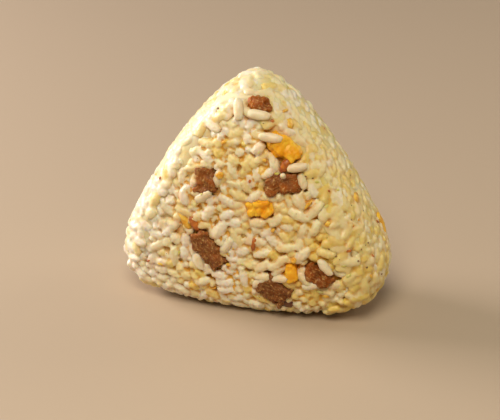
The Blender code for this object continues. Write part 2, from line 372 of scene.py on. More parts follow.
def placeBlotches(tree, x, y, place, blotchScale, mottleScale):
    used = addNode(tree, "ShaderNodeGroup", x, y, node_tree=blotches)
    tree.links.new(place, used.inputs["Place"])
    used.inputs["Blotch Scale"].default_value = blotchScale
    used.inputs["Mottle Scale"].default_value = mottleScale
    return used


def dressShader(tree, shader, colour, spots, roughness, relief, distance):
    # the colour, and one set of blotches for the roughness, between two values, and for the bumps
    rough = scaleValue(tree, -300, -200, spots.outputs["Mottle"], 0.0, 1.0, *roughness)
    bump = addNode(tree, "ShaderNodeBump", -100, -400)
    bump.inputs["Strength"].default_value = relief
    bump.inputs["Distance"].default_value = distance
    tree.links.new(spots.outputs["Relief"], bump.inputs["Height"])
    tree.links.new(colour, shader.inputs["Base Color"])
    tree.links.new(rough, shader.inputs["Roughness"])
    tree.links.new(bump.outputs["Normal"], shader.inputs["Normal"])


riceFinish = {
    "white": (0.84, 0.76, 0.60, 1.0),
    "cream": (0.82, 0.71, 0.41, 1.0),
    "honey": (0.79, 0.585, 0.15, 1.0),
    "blush": (0.82, 0.615, 0.29, 1.0),
    # the gap colours are sauce and painted shade: darker in the hollows between the grains
    "gap": (0.72, 0.345, 0.020, 1.0),
    "leafGap": (0.50, 0.36, 0.045, 1.0),
    "stain": (0.71, 0.29, 0.014, 1.0),
    "leafStain": (0.62, 0.60, 0.14, 1.0),
    "subsurface": 0.50,
    "scatterScale": 0.0016,
}


def makeRiceMaterial(name, looks, relief):
    material, tree, shader = newMaterial(name, {
        "Subsurface Weight": looks["subsurface"],
        "Subsurface Radius": (1.0, 0.66, 0.34),
        "Subsurface Scale": looks["scatterScale"],
        "Specular IOR Level": 0.45,
        "Coat Weight": 0.08,
        "Coat Roughness": 0.20,
    })
    place = objectPlace(tree, -1500, 0)
    wide = placeBlotches(tree, -1200, 300, place, 70.0, 420.0)
    fine = placeBlotches(tree, -1200, 0, place, 190.0, 1500.0)
    ramp = addNode(tree, "ShaderNodeValToRGB", -900, 200)
    ramp.color_ramp.elements[0].color = looks["white"]
    ramp.color_ramp.elements[1].color = looks["honey"]
    ramp.color_ramp.elements.new(0.45).color = looks["cream"]
    tree.links.new(painted(tree, -1200, -300, "grainTint"), ramp.inputs["Fac"])
    colour = ramp.outputs["Color"]
    colour = mixWhere(tree, -500, 200, wide.outputs["Mottle"], 0.50, 1.0, 0.40, colour, looks["blush"])
    colour = mixWhere(tree, -300, 200, fine.outputs["Blotch"], 0.76, 1.0, 0.14, colour, looks["leafStain"])
    # the gaps' colour: sauce, with painted shade
    sauce = mixWhere(tree, -300, 0, wide.outputs["Mottle"], 0.45, 0.95, 0.45, looks["gap"], looks["leafGap"])
    colour = mixColours(tree, -100, 200, painted(tree, -1200, -500, "gapSauceAndShade"), colour, sauce)
    colour = mixColours(tree, 100, 200, painted(tree, -1200, -700, "stain"), colour, looks["stain"])
    dressShader(tree, shader, colour, fine, (0.28, 0.50), relief, 0.0004)
    return material


riceSkin = makeRiceMaterial("riceSkin", riceFinish, 0.25)
riceGrain = makeRiceMaterial("riceGrain", riceFinish, 0.35)

porkFinish = {
    "brown": (0.15, 0.038, 0.004, 1.0),
    "red": (0.46, 0.110, 0.005, 1.0),
    "grey": (0.28, 0.115, 0.034, 1.0),
    "pale": (0.66, 0.38, 0.13, 1.0),
}


def makePorkMaterial(looks):
    material, tree, shader = newMaterial("roastPork", {
        "Subsurface Weight": 0.35,
        "Subsurface Radius": (1.0, 0.40, 0.15),
        "Subsurface Scale": 0.0013,
        "Specular IOR Level": 0.18,
        "Coat Weight": 0.05,
        "Coat Roughness": 0.22,
    })
    fibre = placeBlotches(tree, -1200, 0, painted(tree, -1500, 0, "fibrePlace", "Vector"), 420.0, 1900.0)
    patch = placeBlotches(tree, -1200, 300, objectPlace(tree, -1500, 300), 300.0, 1500.0)
    shade, dark = painted(tree, -1500, -300, "meatShade"), painted(tree, -1500, -500, "paintedShadeOnMeat")
    colour = mixColours(tree, -900, 200, shade, looks["red"], looks["grey"])
    colour = mixWhere(tree, -700, 200, patch.outputs["Blotch"], 0.0, 1.0, 0.80, colour, looks["brown"])
    # painted shade: the low pieces darkened towards brown
    colour = mixColours(tree, -600, 100, dark, colour, looks["brown"])
    colour = mixWhere(tree, -500, 200, fibre.outputs["Mottle"], 0.55, 1.0, 0.40, colour, looks["pale"])
    colour = mixWhere(tree, -300, 200, patch.outputs["Mottle"], 0.68, 1.0, 0.80, colour, looks["pale"])
    dressShader(tree, shader, colour, patch, (0.28, 0.60), 0.8, 0.0006)
    return material


eggFinish = {
    "yellow": (0.86, 0.35, 0.003, 1.0),
    "bright": (0.95, 0.56, 0.040, 1.0),
    "orange": (0.72, 0.24, 0.002, 1.0),
}


def makeEggMaterial(looks):
    material, tree, shader = newMaterial("scrambledEgg", {
        "Subsurface Weight": 0.30,
        "Subsurface Radius": (1.0, 0.55, 0.12),
        "Subsurface Scale": 0.0016,
        "Specular IOR Level": 0.30,
        "Coat Weight": 0.05,
        "Coat Roughness": 0.25,
    })
    curd = placeBlotches(tree, -1200, 0, objectPlace(tree, -1500, 0), 330.0, 1600.0)
    colour = mixColours(tree, -900, 200, curd.outputs["Blotch"], looks["yellow"], looks["bright"])
    colour = mixColours(tree, -700, 200, painted(tree, -1200, -300, "foldDepth"), colour, looks["orange"])
    dressShader(tree, shader, colour, curd, (0.30, 0.55), 0.35, 0.0004)
    return material


def makeCrumbMaterial(name, dark, light, roughness, glow):
    # small bits: colour mottled between two shades, with a little light passing through
    material, tree, shader = newMaterial(name, {
        "Subsurface Weight": glow,
        "Subsurface Radius": (1.0, 0.5, 0.2),
        "Subsurface Scale": 0.0008,
        "Coat Weight": 0.15,
        "Coat Roughness": 0.25,
    })
    speck = placeBlotches(tree, -900, 0, objectPlace(tree, -1200, 0), 700.0, 2600.0)
    colour = mixColours(tree, -500, 200, speck.outputs["Blotch"], dark, light)
    dressShader(tree, shader, colour, speck, (roughness, roughness + 0.2), 0.3, 0.0003)
    return material


print("materials made")


# pork and egg, each from its own CAD solid

def pieceFrame(node):
    # the middle, the axes (out of the rice, across, along) and the half sizes of a solid
    points = readPoints(frame["nodes"][node])
    middle = (points.max(axis=0) + points.min(axis=0)) / 2
    out = outwardOf(middle[None])[0]
    flat = (points - middle) - np.outer((points - middle) @ out, out)
    spread, axes = np.linalg.eigh(flat.T @ flat)
    along = axes[:, int(np.argmax(spread))]
    across = np.cross(out, along)
    turn = np.stack([out, across, along], axis=1)
    local = (points - middle) @ turn
    low, high = local.min(axis=0), local.max(axis=0)
    return {"middle": middle + turn @ ((low + high) / 2), "turn": turn, "half": (high - low) / 2}


def copySolid(node, name, voxel, softening):
    # a copy of a solid, merged and remeshed finely enough to be shaped
    obj = frame["nodes"][node].copy()
    obj.data = frame["nodes"][node].data.copy()
    obj.name = name
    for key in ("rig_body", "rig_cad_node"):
        del obj[key]
    obj.parent = None
    bpy.context.scene.collection.objects.link(obj)
    onlySelect(obj)
    bpy.ops.object.mode_set(mode="EDIT")
    bpy.ops.mesh.select_all(action="SELECT")
    bpy.ops.mesh.remove_doubles(threshold=0.00001)
    bpy.ops.object.mode_set(mode="OBJECT")
    softRemesh(obj, voxel, softening)
    bpy.ops.object.shade_smooth()
    return obj


porkShape = {
    "voxel": 0.00034,
    "softening": 10,
    "fibreRelief": 0.00026,
    "fibreLength": 0.0016,
    "fibreWidth": 0.00080,
    "lumpRelief": 0.00120,
    "lumpSize": 0.0020,
    "raggedRelief": 0.00045,
    "raggedSize": 0.0010,
    # painted shade: how much darker the low pieces are made, as they lie in shade
    "shadedPieces": {"pork_front_bottom": 0.45, "pork_front_lower_right": 0.35, "pork_back_low": 0.3},
    "greyPieces": {"pork_front_left": 0.55, "pork_front_lower_left": 0.80, "pork_front_bottom": 0.90,
                   "pork_front_middle": 0.45, "pork_front_top": 0.00, "pork_front_lower_right": 0.05},
}


def makePork(node, material):
    # a die of pork with a fibrous, lumpy skin
    shape = porkShape
    place = pieceFrames[node]
    obj = copySolid(node, node.replace("pork", "porkDice"), shape["voxel"], shape["softening"])
    points, normals = readPoints(obj), vertexNormals(obj)
    local = (points - place["middle"]) @ place["turn"]
    stretched = local / np.array([shape["fibreWidth"], shape["fibreWidth"], shape["fibreLength"]])
    seed = float(abs(place["middle"][0]) * 700 + place["middle"][2] * 300)
    fibres = noiseAt(stretched, 1.0, seed)
    lumps = noiseAt(points, shape["lumpSize"], seed)
    ragged = noiseAt(points, shape["raggedSize"], seed)
    relief = fibres * shape["fibreRelief"] + lumps * shape["lumpRelief"] + ragged * shape["raggedRelief"]
    points = heldIn(points + normals * relief[:, None], 0.0003)
    writePoints(obj, points)
    paintVectors(obj, "fibrePlace", local * np.array([1.0, 1.0, 0.35]) + seed * 0.01)
    grey = shape["greyPieces"].get(node, 0.5)
    shade = np.clip(grey + 0.6 * noiseAt(points, 0.0026, seed + 5) - 0.25 * points[:, 0] / 0.012
                    + 0.25 * place["middle"][0] / 0.012, 0, 1)
    paintValues(obj, "meatShade", shade)
    # painted shade on the low pieces
    paintValues(obj, "paintedShadeOnMeat", np.full(len(points), shape["shadedPieces"].get(node, 0.0)))
    finishPiece(obj, material, [node])


eggShape = {
    "voxel": 0.00032,
    "softening": 5,
    "curdRelief": 0.00085,
    "curdSize": 0.0023,
    "fineRelief": 0.00016,
    "fineSize": 0.0008,
    "raggedRelief": 0.00080,
    "raggedSize": 0.0027,
    "smoothPieces": {"egg_front_upper": 0.5, "egg_front_low": 0.7, "egg_side_right": 0.1},  # with fewer curds
}


def makeEgg(node, material):
    # a piece of egg with rounded curds and ragged edges
    shape = eggShape
    place = pieceFrames[node]
    obj = copySolid(node, node.replace("egg", "eggCurd"), shape["voxel"], shape["softening"])
    points, normals = readPoints(obj), vertexNormals(obj)
    seed = float(abs(place["middle"][0]) * 900 + place["middle"][2] * 200)
    curds = np.abs(noiseAt(points, shape["curdSize"], seed))  # rounded swells between sharp folds
    fine = noiseAt(points, shape["fineSize"], seed)
    curdy = shape["smoothPieces"].get(node, 1.0)
    ragged = noiseAt(points, shape["raggedSize"], seed + 3)
    relief = (curds - 0.22) * shape["curdRelief"] * 1.6 * curdy + fine * shape["fineRelief"]
    relief = relief + ragged * shape["raggedRelief"] * min(curdy * 2, 1)
    writePoints(obj, heldIn(points + normals * relief[:, None], 0.0004))
    paintValues(obj, "foldDepth", np.clip(1 - curds / 0.10, 0, 1) * 0.7 * curdy)
    finishPiece(obj, material, [node])


roastPork = makePorkMaterial(porkFinish)
scrambledEgg = makeEggMaterial(eggFinish)
porkNodes = sorted(name for name in frame["nodes"] if name.startswith("pork"))
eggNodes = sorted(name for name in frame["nodes"] if name.startswith("egg"))
pieceFrames = {node: pieceFrame(node) for node in porkNodes + eggNodes}
for node in porkNodes:
    makePork(node, roastPork)
for node in eggNodes:
    makeEgg(node, scrambledEgg)
print("pork and egg shaped")


# the rice, packed grain by grain

grainSize = {
    "length": 0.0064,
    "width": 0.0031,
    "thickness": 0.0028,
    "segments": 10,
    "rings": 7,
}
grainKinds = {  # length, width, bend in degrees, how blunt, how slanted the germ end is
    "full": (1.00, 1.00, 10, 0.30, 0.30),
    "plump": (0.78, 1.08, 5, 0.40, 0.15),
    "slender": (1.00, 0.88, 16, 0.25, 0.40),
    "crooked": (0.90, 0.96, 26, 0.30, 0.20),
    "broken": (0.58, 1.02, 4, 0.55, 0.10),
    "split": (0.72, 0.88, 10, 0.50, 0.60),
}


def modelGrain(name, kind):
    longer, wider, bend, blunt, slant = kind
    size = grainSize
    bpy.ops.mesh.primitive_uv_sphere_add(segments=size["segments"], ring_count=size["rings"], radius=0.5)
    grain = bpy.context.active_object
    grain.name = name
    bpy.ops.object.mode_set(mode="EDIT")
    bpy.ops.mesh.select_all(action="DESELECT")
    bpy.ops.object.mode_set(mode="OBJECT")
    for vertex in grain.data.vertices:
        vertex.select = vertex.co.z > 0.30
    bpy.ops.object.mode_set(mode="EDIT")
    bpy.ops.mesh.select_mode(type="VERT")
    bpy.ops.transform.translate(value=(0, 0.10 * slant, -0.06 * slant))  # the notch that the germ leaves
    bpy.ops.transform.resize(value=(1 - 0.2 * slant, 1 - 0.3 * slant, 1))
    bpy.ops.object.mode_set(mode="OBJECT")
    cast = grain.modifiers.new("Blunt ends", "CAST")
    cast.cast_type = "CYLINDER"
    cast.factor = blunt
    cast.size = 0.46
    cast.use_radius_as_size = False
    applyAll(grain)
    bpy.ops.object.mode_set(mode="EDIT")
    bpy.ops.mesh.select_all(action="SELECT")
    width, length = size["width"] * wider, size["length"] * longer
    bpy.ops.transform.resize(value=(size["thickness"] * wider, width, length))
    bpy.ops.object.mode_set(mode="OBJECT")
    curve = grain.modifiers.new("Crook", "SIMPLE_DEFORM")
    curve.deform_method = "BEND"
    curve.deform_axis = "X"
    curve.angle = math.radians(bend)
    applyAll(grain)
    points = readPoints(grain)
    faces = [tuple(face.vertices) for face in grain.data.polygons]
    bpy.data.objects.remove(grain)
    return {"points": points - points.mean(axis=0), "faces": faces}


grainModels = [modelGrain(name, kind) for name, kind in grainKinds.items()]

packing = {
    "faceGrains": 1310,  # loose grains on the two broad faces together
    "pressedGrains": 640,
    "morePressed": (  # more pressed grains where few rays end: side, across and up in mm, how many
        ("top", (-11, 12), (-9, 8), 40), ("right", (-13, 13), (2, 18), 44), ("left", (-13, 13), (2, 18), 34),
        ("right", (-16, -8), (18, 52), 36), ("left", (-16, -8), (18, 52), 20),
    ),
    "rays": 4000,  # sent out at a time, from a block inside the form
    "startAcross": (-0.025, 0.025),
    "startUp": (0.009, 0.039),
    "rounds": 60,
    "slabDepth": 0.0048,  # the loose grains lie within this depth
    "proud": -0.0001,
    "pressedDepth": 0.0010,
    "pressedLift": 0.00032,  # how unevenly the pressed grains end
    "closeness": 0.75,  # grains sink into each other by the rest
    "tilt": math.radians(24),
    "pressedTilt": math.radians(4),
    "onEnd": 0.34,  # share of loose grains that stand on end
    "pieceSlack": 0.00035,  # how far grains press into the edges of a piece's box
    "pieceReach": 0.003,  # how far that box is drawn out past the skin
    "mostShove": 0.002,
    "pressedCloser": 0.12,  # how much smaller a pressed grain counts, so that they lie closer
    "grainPush": 0.25,  # the share of an overlap that one round takes away, between grains
    "piecePush": 0.35,  # and off the pork and egg
    "formPush": 0.5,  # and from the form and the base
    "settle": 0.45,  # how far a grain follows all its pushes
    "mostMove": 0.0008,
    "mostTurn": 0.15,
    "stations": (-0.34, -0.17, 0.0, 0.17, 0.34),
    "stationRadii": (0.34, 0.44, 0.47, 0.44, 0.34),
    "spread": 0.09,
}


def scatterGrains(count, wantRough):
    # random places on the skin, with loose grains within the slab and pressed ones at one depth
    p = packing
    found = {"middle": [], "turn": []}
    while sum(len(part) for part in found["middle"]) < count:
        rays = p["rays"]
        directions = unit(chance.normal(size=(rays, 3)))
        starts = np.zeros((rays, 3))
        starts[:, 0] = chance.uniform(*p["startAcross"], rays)
        starts[:, 2] = chance.uniform(*p["startUp"], rays)
        skin = skinAlong(starts, directions, 0.0)
        out = outwardOf(skin)
        rough = roughShare(out)
        keep = (chance.random(rays) < rough) if wantRough else (chance.random(rays) > rough)
        keep &= skin[:, 2] > -0.001
        # rays crowd where the skin is near, so spots are thinned to an even spread
        reach = np.linalg.norm(skin - starts, axis=1)
        facing = np.abs((directions * out).sum(axis=1))
        weight = reach ** 2 / np.maximum(facing, 0.15)
        keep &= chance.random(rays) < weight / np.quantile(weight, 0.97)
        skin, out = skin[keep], out[keep]
        number = len(skin)
        depth = np.full(number, p["pressedDepth"])
        if wantRough:
            depth = chance.uniform(0.001, p["slabDepth"], number)
        turnAngle = chance.uniform(0, math.tau, number)
        tilt = chance.normal(size=number) * (p["tilt"] if wantRough else p["pressedTilt"])
        if wantRough:
            onEnd = chance.random(number) < p["onEnd"]
            tilt = np.where(onEnd, chance.uniform(0.9, 1.4, number), tilt)
        helper = np.where(np.abs(out[:, 2:3]) < 0.8, np.array([[0, 0, 1.0]]), np.array([[1.0, 0, 0]]))
        first = unit(np.cross(helper, out))
        second = np.cross(out, first)
        flat = first * np.cos(turnAngle)[:, None] + second * np.sin(turnAngle)[:, None]
        along = flat * np.cos(tilt)[:, None] + out * np.sin(tilt)[:, None]
        across = unit(np.cross(out, along))
        found["middle"].append(skin - out * depth[:, None])
        found["turn"].append(np.stack([np.cross(across, along), across, along], axis=2))
    return np.concatenate(found["middle"])[:count], np.concatenate(found["turn"])[:count]


def pushedOff(spheres, radii, frames):
    # how the pork and egg push the grains' spheres: each is a box drawn out past the skin, so none lies on it
    push = np.zeros_like(spheres)
    for place in frames:
        half = place["half"] - packing["pieceSlack"]
        middle = place["middle"] + place["turn"][:, 0] * packing["pieceReach"]
        half = half + np.array([packing["pieceReach"], 0, 0])
        local = (spheres - middle) @ place["turn"]
        beyond = np.abs(local) - half
        outside = np.maximum(beyond, 0)
        distance = np.linalg.norm(outside, axis=-1)
        depth = radii - distance
        touching = depth > 0
        inside = beyond.max(axis=-1) < 0
        direction = outside * np.sign(local)
        direction /= np.maximum(distance, 1e-9)[..., None]
        beyond[..., 0] = -1.0  # never out through the skin
        nearest = np.argmax(beyond, axis=-1)
        axis = np.eye(3)[nearest] * np.sign(np.take_along_axis(local, nearest[..., None], axis=-1))
        least = np.take_along_axis(beyond, nearest[..., None], axis=-1)[..., 0]
        depth = np.where(inside, radii - least, depth)
        direction = np.where(inside[..., None], axis, direction)
        shove = direction * np.clip(depth, 0, packing["mostShove"])[..., None]
        push += np.where(touching[..., None], shove, 0) @ place["turn"].T
    return push


def packGrains(middle, turn, rough, scale, frames, pinned):
    # pushes touching grains apart, round by round, and holds them against the pressed form
    p = packing
    firstMiddle, firstTurn = middle.copy(), turn.copy()
    length = grainSize["length"] * scale[:, 0]
    width = grainSize["width"] * scale[:, 1]
    stations = np.array(p["stations"])[None] * length[:, None]
    radii = np.array(p["stationRadii"])[None] * width[:, None] * p["closeness"]
    radii = radii * (1 - p["pressedCloser"] * (1 - rough))[:, None]
    for _ in range(p["rounds"]):
        spheres = middle[:, None] + turn[:, None, :, 2] * stations[..., None]
        arms = spheres - middle[:, None]
        gaps = np.linalg.norm(middle[:, None] - middle[None], axis=2)
        first, second = np.nonzero(np.triu(gaps < grainSize["length"] * 1.10, 1))
        apart = spheres[first][:, :, None] - spheres[second][:, None]
        distance = np.linalg.norm(apart, axis=3) + 1e-9
        overlap = np.maximum(radii[first][:, :, None] + radii[second][:, None] - distance, 0)
        push = apart / distance[..., None] * overlap[..., None] * p["grainPush"]
        move = np.zeros_like(spheres)
        np.add.at(move, first, push.sum(axis=2))
        np.subtract.at(move, second, push.sum(axis=1))
        move += pushedOff(spheres, radii, frames) * p["piecePush"]
        outside = outsideForm(spheres)
        out = outwardOf(spheres)
        proud = outside + radii / p["closeness"] - p["proud"]
        deep = -outside - p["slabDepth"]
        loose = -np.maximum(proud, 0) + np.maximum(deep, 0) + 0.00002
        pressed = (-p["pressedDepth"] - outside) * 0.5
        wanted = loose * rough[:, None] + pressed * (1 - rough)[:, None]
        move += out * np.clip(wanted, -0.001, 0.001)[..., None] * p["formPush"]
        below = np.maximum(radii * 0.75 - spheres[..., 2], 0)
        move[..., 2] += below * p["formPush"]
        middle = middle + np.clip(move.sum(axis=1) * p["settle"], -p["mostMove"], p["mostMove"])
        torque = np.cross(arms, move).sum(axis=1) / (length[:, None] ** 2 * 0.30)
        turnBy = np.clip(torque, -p["mostTurn"], p["mostTurn"])
        turn = turn + np.cross(turnBy[:, :, None], turn, axis=1)
        along = unit(turn[:, :, 2])
        across = unit(turn[:, :, 1] - along * (turn[:, :, 1] * along).sum(axis=1, keepdims=True))
        turn = np.stack([np.cross(across, along), across, along], axis=2)
        middle[pinned], turn[pinned] = firstMiddle[pinned], firstTurn[pinned]
    return middle, turn


def buildGrains(name, middle, turn, scale, kinds, tints):
    # one joined mesh: each grain is a copy of one of the modelled grains, in its own place
    parts, values = [], []
    for spot, axes, size, kind, tint in zip(middle, turn, scale, kinds, tints):
        model = grainModels[kind]
        local = model["points"] * np.array([size[1], size[1], size[0]])
        parts.append((local @ axes.T + spot, model["faces"]))
        values.append(np.full(len(local), tint))
    obj = joinParts(name, parts)
    paintValues(obj, "grainTint", np.concatenate(values))
    return obj


lowPart = (0.016, 0.026)  # the heights between which the looser look of the low corners fades out
pressing = {
    "smoothStrip": 0.9,  # how much of the loose grains' roughness the left strip loses
    "evenAbove": 0.7,  # how much less unevenly the pressed grains end above the low corners
    "looseProud": 0.0003,
    "pressedShare": 0.97,  # the share of what stands out that is pressed away
    "looseLess": 0.19,  # how much smaller it is for loose grains
}


def pressToForm(points, rough, lift):
    # what stands past the form is pressed flat against it, and loose grains may stand a little proud
    normals = outwardOf(points)
    rough = rough * (1 - pressing["smoothStrip"] * leftSkin(points))
    lift = lift * (1 - rough) * (1 - pressing["evenAbove"] * smoothStep(points[:, 2], *lowPart))
    excess = outsideForm(points) - pressing["looseProud"] * rough - lift - swellOf(points, normals)
    share = pressing["pressedShare"] - pressing["looseLess"] * rough
    pressed = points - normals * (np.maximum(excess, 0) * share)[:, None]
    pressed[:, 2] = np.maximum(pressed[:, 2], 0.0)
    return pressed


knownGrains = (  # grains that can be made out one by one on the front:
    # across, up, turn in degrees, length and width in mm, whiteness
    (18.5, 45.2, -54, 5.3, 3.0, 0.9), (17.7, 39.2, -34, 5.8, 3.5, 0.6), (-3.6, 37.2, -8, 5.8, 2.9, 0.9),
    (-9.2, 32.5, 80, 6.1, 3.4, 1), (-5.8, 27.6, 71, 7.3, 3.7, 1), (-3.6, 32.6, 50, 5.1, 2.9, 1),
    (-8.8, 37, -53, 4.4, 2.7, 0.9), (-16.5, 36.3, -62, 5.4, 3.0, 0.9), (-11.3, 9.8, 39, 5.3, 2.9, 0.8),
    (-6.2, 12.8, 9, 4.8, 3.0, 1), (-4.6, 10.5, 20, 5.5, 2.9, 0.7), (-4.4, 8.1, 26, 5.3, 3.0, 0.8),
    (7, 17.6, 55, 5.7, 3.0, 0.5), (10.3, 18.1, 38, 4.5, 3.2, 0.6), (7.2, 14.2, 24, 5.4, 3.2, 0.5),
    (18.6, 22.7, 60, 7.3, 3.5, 0.9), (14.2, 24.5, 23, 6.6, 2.9, 0.5), (6.8, 21.7, 33, 5.5, 2.9, 0.8),
    (12.7, 20.2, 64, 4.7, 2.9, 0.7), (25.9, 24.1, 3, 6.1, 3.0, 0.4), (20.1, 14.8, -28, 7.4, 3.2, 0.8),
    (11, 32.7, 63, 5.3, 3.2, 0.7), (18, 35.1, -6, 7.4, 3.5, 0.5), (22.5, 37.2, 64, 6.6, 3.2, 0.5),
    (22.5, 31.7, 83, 5.3, 3.2, 0.8), (4.8, 39.3, 63, 5.1, 3.0, 0.7), (10.5, 49.6, -37, 4.7, 3.2, 0.8),
    (8.6, 46.8, 63, 4.5, 3.0, 0.9), (5.7, 31.4, 28, 5.3, 3.2, 0.7), (5.6, 53.9, 70, 4.5, 3.4, 1),
)
knownSunk = 1.05  # mm from the form to the middle of such a grain

looseMiddle, looseTurn = scatterGrains(packing["faceGrains"], True)
pressedMiddle, pressedTurn = scatterGrains(packing["pressedGrains"], False)
moreFrames = np.array([
    np.array(frameOn(side, chance.uniform(*across), chance.uniform(*up), chance.uniform(0, 180), 1.0))
    for side, across, up, count in packing["morePressed"] for _ in range(count)])
pressedMiddle = np.concatenate([pressedMiddle, moreFrames[:, :3, 3]])
pressedTurn = np.concatenate([pressedTurn, moreFrames[:, :3, :3]])
knownFrames = np.array([np.array(frameOn("front", *grain[:3], knownSunk)) for grain in knownGrains])
grainMiddle = np.concatenate([looseMiddle, knownFrames[:, :3, 3], pressedMiddle])
grainTurn = np.concatenate([looseTurn, knownFrames[:, :3, :3], pressedTurn])
grainCount, knownCount = len(grainMiddle), len(knownGrains)
isLoose = np.arange(grainCount) < len(looseMiddle) + knownCount
isKnown = isLoose & (np.arange(grainCount) >= len(looseMiddle))
grainScale = 1 + chance.normal(size=(grainCount, 2)) * packing["spread"] * np.array([1.0, 0.7])
grainKind = chance.choice(len(grainKinds), grainCount, p=(0.17, 0.30, 0.07, 0.06, 0.26, 0.14))
grainKind[isKnown] = 0
grainScale[isKnown] = [(grain[3] * mm / grainSize["length"], grain[4] * mm / grainSize["width"])
                       for grain in knownGrains]
grainTint = np.clip(chance.normal(0.40, 0.29, grainCount), 0, 1)
grainTint[isKnown] = [0.50 - 0.45 * grain[5] for grain in knownGrains]
kindShapes = np.array([kind[:2] for kind in grainKinds.values()])
grainReach = grainScale * kindShapes[grainKind]
grainMiddle, grainTurn = packGrains(grainMiddle, grainTurn, isLoose.astype(float), grainReach,
                                    list(pieceFrames.values()), isKnown)
grainOut = outwardOf(grainMiddle)
grainMiddle = grainMiddle + grainOut * swellOf(grainMiddle, grainOut)[:, None]
print("grains packed:", grainCount)


# small bits of egg, sauce-dyed slivers, pork, leek and pepper: some at listed places and the rest at random

bitKinds = {
    # dark shade, light shade, roughness, light passing through, and the listed bits:
    # side, across, up, turn, length, width, thickness in mm
    "eggCrumbs": {
        "looks": ((0.74, 0.33, 0.014, 1.0), (0.90, 0.60, 0.09, 1.0), 0.30, 0.30),
        "placed": (
            ("front", -16.4, 28.8, -58, 6.4, 2.0, 1.8), ("front", -5.4, 44.8, 50, 2.6, 2.2, 1.6),
            ("front", 13.2, 60.2, -58, 3.6, 2.5, 1.6), ("right", -2.7, 36.2, -62, 3.8, 2.8, 2.6),
            ("front", 11.3, 63.0, 62, 3.2, 0.9, 1.0), ("front", 20.2, 38.5, 48, 3.8, 1.0, 1.2),
            ("front", -8.6, 7.4, 15, 2.6, 1.1, 1.4), ("front", 25.6, 9.6, 20, 2.2, 1.4, 1.2),
            ("front", 16.6, 21.2, 70, 2.2, 1.6, 1.4), ("back", 8.5, 45.0, -35, 4.4, 2.4, 1.6),
            ("back", -20.0, 15.0, 30, 4.0, 2.2, 1.6)),
        "count": 22, "length": (0.7, 1.9), "flatness": (0.45, 0.9), "lift": 0.24,
    },
    "sauceSlivers": {
        "looks": ((0.34, 0.070, 0.006, 1.0), (0.62, 0.19, 0.015, 1.0), 0.28, 0.25),
        "placed": (
            ("front", 4.5, 24.4, 80, 4.6, 1.7, 1.5), ("front", -13.2, 28.4, -60, 5.2, 2.8, 2.0),
            ("front", 13.4, 49.6, 68, 4.6, 2.4, 1.8), ("front", 9.0, 61.6, 30, 1.5, 1.1, 1.0),
            ("front", 3.4, 44.0, 60, 1.4, 0.9, 0.9), ("back", 2.0, 38.0, 40, 3.8, 1.6, 1.4),
            ("right", -7.4, 20.6, 70, 1.7, 0.8, 1.0), ("right", 4.8, 25.9, 60, 1.6, 0.8, 1.0),
            ("right", -13.0, 41.9, 40, 1.2, 0.8, 1.0), ("front", -24.8, 40.2, 30, 1.4, 0.8, 1.0),
            ("front", -28.4, 13.5, 20, 1.6, 0.9, 1.0), ("front", 32.0, 25.0, 10, 2.0, 1.1, 1.1)),
        "count": 5, "length": (0.8, 1.5), "flatness": (0.5, 0.9), "lift": 0.16,
    },
    "porkCrumbs": {
        "looks": ((0.10, 0.026, 0.006, 1.0), (0.24, 0.085, 0.030, 1.0), 0.40, 0.20),
        "placed": (
            ("front", 13.5, 5.4, -20, 5.0, 3.6, 2.6), ("back", -9.0, 12.0, 40, 3.4, 2.4, 2.0)),
        "count": 2, "length": (1.0, 1.6), "flatness": (0.6, 0.9), "lift": 0.10,
    },
    "leekFlecks": {
        "looks": ((0.60, 0.53, 0.09, 1.0), (0.80, 0.70, 0.28, 1.0), 0.30, 0.45),
        "placed": (
            ("front", 11.0, 47.0, 20, 2.1, 1.4, 1.2), ("front", 25.3, 38.0, 30, 2.0, 1.2, 0.9),
            ("front", 22.3, 44.8, 10, 1.6, 0.9, 0.8), ("front", 24.1, 11.2, 5, 2.4, 0.9, 0.9),
            ("front", 30.8, 20.7, 0, 2.2, 0.8, 0.8), ("front", 6.1, 53.1, 60, 1.5, 0.6, 0.8),
            ("front", -18.4, 18.0, 50, 1.8, 1.0, 1.0), ("right", 1.5, 31.9, 60, 2.0, 0.9, 1.0),
            ("front", 32.2, 17.3, 30, 1.8, 1.0, 1.0), ("right", -9.5, 41.0, 20, 1.3, 0.8, 0.9)),
        "count": 10, "length": (0.7, 1.4), "flatness": (0.4, 0.8), "lift": 0.14,
    },
    "pepperSpecks": {
        "looks": ((0.12, 0.055, 0.015, 1.0), (0.34, 0.17, 0.050, 1.0), 0.45, 0.10),
        "placed": (
            ("front", 6.7, 61.0, 0, 0.6, 0.5, 0.4), ("front", 9.0, 61.9, 0, 0.7, 0.5, 0.4),
            ("front", -7.9, 63.4, 0, 0.9, 0.6, 0.5), ("front", 5.4, 67.0, 0, 0.6, 0.5, 0.4),
            ("right", -10.4, 32.7, 0, 0.8, 0.6, 0.6), ("right", -7.6, 35.7, 0, 0.6, 0.5, 0.5),
            ("front", 26.6, 25.7, 0, 0.8, 0.6, 0.5), ("front", 28.5, 23.5, 0, 0.9, 0.6, 0.6),
            ("right", -14.0, 21.7, 0, 1.0, 0.7, 0.6), ("right", -12.0, 24.6, 0, 0.8, 0.6, 0.6),
            ("right", -9.5, 24.8, 0, 0.6, 0.5, 0.5), ("right", -7.8, 24.9, 0, 0.6, 0.5, 0.5),
            ("right", -11.4, 18.8, 0, 0.8, 0.6, 0.6), ("right", -4.6, 13.9, 0, 0.9, 0.6, 0.6),
            ("right", 1.2, 41.0, 0, 0.8, 0.6, 0.6), ("right", -2.8, 32.2, 0, 0.6, 0.5, 0.5),
            ("front", 19.2, 46.7, 0, 0.7, 0.5, 0.5), ("front", 21.0, 46.0, 0, 0.7, 0.5, 0.5)),
        "count": 30, "length": (0.22, 0.42), "flatness": (0.6, 1.0), "lift": 0.15,
    },
}
seatReach = 0.006  # how far off the skin the grains are felt for, outwards and inwards


